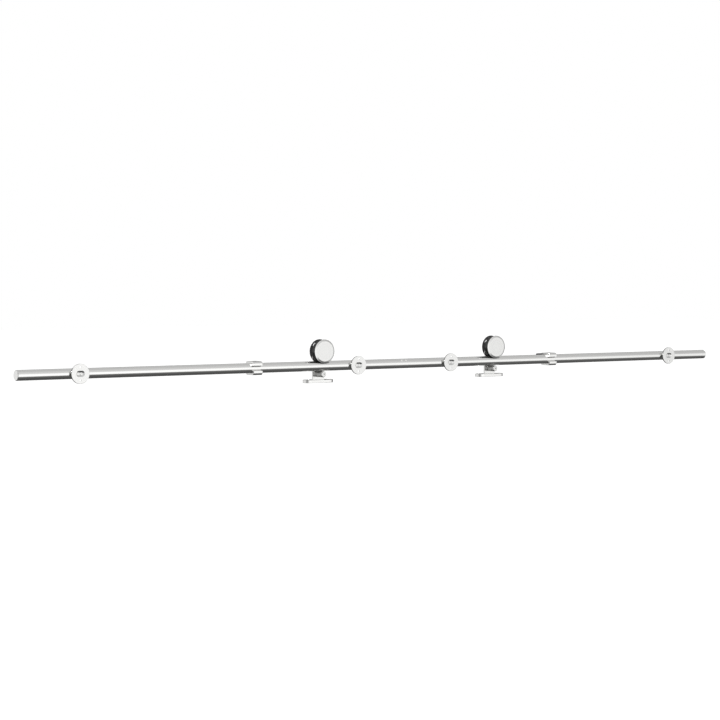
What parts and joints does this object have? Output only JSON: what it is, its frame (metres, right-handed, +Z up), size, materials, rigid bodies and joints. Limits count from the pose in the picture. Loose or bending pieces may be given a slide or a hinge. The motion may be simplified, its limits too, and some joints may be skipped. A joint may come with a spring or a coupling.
{
  "type": "sliding barn door hardware",
  "caption": "Round steel rail on wall flanges, with rolling door hangers on grooved wheels and sliding end stops.",
  "frame": {"origin": "on the wall plane, midway between the two inner flanges, at the rail's height", "axes": "+X along the rail, +Y from the wall into the room, +Z up"},
  "size_m": [2.2, 0.0515, 0.1104],
  "materials": {
    "rail_steel": "satin polished stainless, fine lengthwise grain",
    "flange_steel": "fine turned stainless",
    "fastener_steel": "bright stainless",
    "inner_steel": "plain machined steel",
    "strap_steel": "polished stainless plate",
    "cap_steel": "face-turned stainless, concentric tool marks",
    "black_nylon": "gloss",
    "roller_steel": "dark satin turned steel",
    "bearing_steel": "ground and polished",
    "stop_steel": "polished stainless",
    "black_rubber": "matt"
  },
  "bodies": {
    "rail": {"rail_tube_left": "rail_steel", "rail_tube_right": "rail_steel", "end_plug_left": "rail_steel", "end_plug_right": "rail_steel", "rail_connector": "inner_steel", "connector_set_screws": "fastener_steel", "wall_flange_1": "flange_steel", "wall_flange_2": "flange_steel", "wall_flange_3": "flange_steel", "wall_flange_4": "flange_steel", "flange_spacer_1": "flange_steel", "flange_spacer_2": "flange_steel", "flange_spacer_3": "flange_steel", "flange_spacer_4": "flange_steel", "flange_studs": "fastener_steel", "rail_nuts": "inner_steel"},
    "hanger_left": {"hanger_strap_left": "strap_steel", "door_plate_left": "strap_steel", "strap_screws_left": "fastener_steel", "axle_bolt_left": "fastener_steel", "axle_spacer_left": "fastener_steel", "axle_nut_left": "fastener_steel", "bearing_inner_ring_left": "bearing_steel", "bearing_balls_left": "bearing_steel", "anti_jump_bolt_left": "fastener_steel", "anti_jump_nut_left": "fastener_steel"},
    "wheel_left": {"wheel_left": "black_nylon", "wheel_cap_left": "cap_steel", "bearing_outer_ring_left": "bearing_steel"},
    "roller_left": {"anti_jump_roller_left": "roller_steel"},
    "stop_left": {"stop_collar_left": "stop_steel", "stop_bumper_left": "black_rubber", "stop_set_screw_left": "fastener_steel"},
    "hanger_right": {"hanger_strap_right": "strap_steel", "door_plate_right": "strap_steel", "strap_screws_right": "fastener_steel", "axle_bolt_right": "fastener_steel", "axle_spacer_right": "fastener_steel", "axle_nut_right": "fastener_steel", "bearing_inner_ring_right": "bearing_steel", "bearing_balls_right": "bearing_steel", "anti_jump_bolt_right": "fastener_steel", "anti_jump_nut_right": "fastener_steel"},
    "wheel_right": {"wheel_right": "black_nylon", "wheel_cap_right": "cap_steel", "bearing_outer_ring_right": "bearing_steel"},
    "roller_right": {"anti_jump_roller_right": "roller_steel"},
    "stop_right": {"stop_collar_right": "stop_steel", "stop_bumper_right": "black_rubber", "stop_set_screw_right": "fastener_steel"}
  },
  "joints": [
    {"name": "hanger_left_slide", "type": "slide", "parent": "rail", "child": "hanger_left", "axis": [1, 0, 0], "range_m": [-0.1558, 0.207]},
    {"name": "wheel_left_spin", "type": "hinge", "parent": "hanger_left", "child": "wheel_left", "pos_m": [-0.2515, 0.0185, 0.0372], "axis": [0, 1, 0], "range_deg": [-364, 483]},
    {"name": "roller_left_spin", "type": "hinge", "parent": "hanger_left", "child": "roller_left", "pos_m": [-0.2515, 0.0185, -0.0209], "axis": [0, 1, 0], "continuous": true},
    {"name": "stop_left_slide", "type": "slide", "parent": "rail", "child": "stop_left", "axis": [1, 0, 0], "range_m": [-0.44, 0]},
    {"name": "hanger_right_slide", "type": "slide", "parent": "rail", "child": "hanger_right", "axis": [1, 0, 0], "range_m": [-0.253, 0.1518]},
    {"name": "wheel_right_spin", "type": "hinge", "parent": "hanger_right", "child": "wheel_right", "pos_m": [0.3085, 0.0185, 0.0372], "axis": [0, 1, 0], "range_deg": [-589, 355]},
    {"name": "roller_right_spin", "type": "hinge", "parent": "hanger_right", "child": "roller_right", "pos_m": [0.3085, 0.0185, -0.0209], "axis": [0, 1, 0], "continuous": true},
    {"name": "stop_right_slide", "type": "slide", "parent": "rail", "child": "stop_right", "axis": [1, 0, 0], "range_m": [0, 0.395]}
  ],
  "couplings": [
    {"joint": "wheel_left_spin", "follows": "hanger_left_slide", "rad_per_m": 40.486},
    {"joint": "wheel_right_spin", "follows": "hanger_right_slide", "rad_per_m": 40.486}
  ]
}
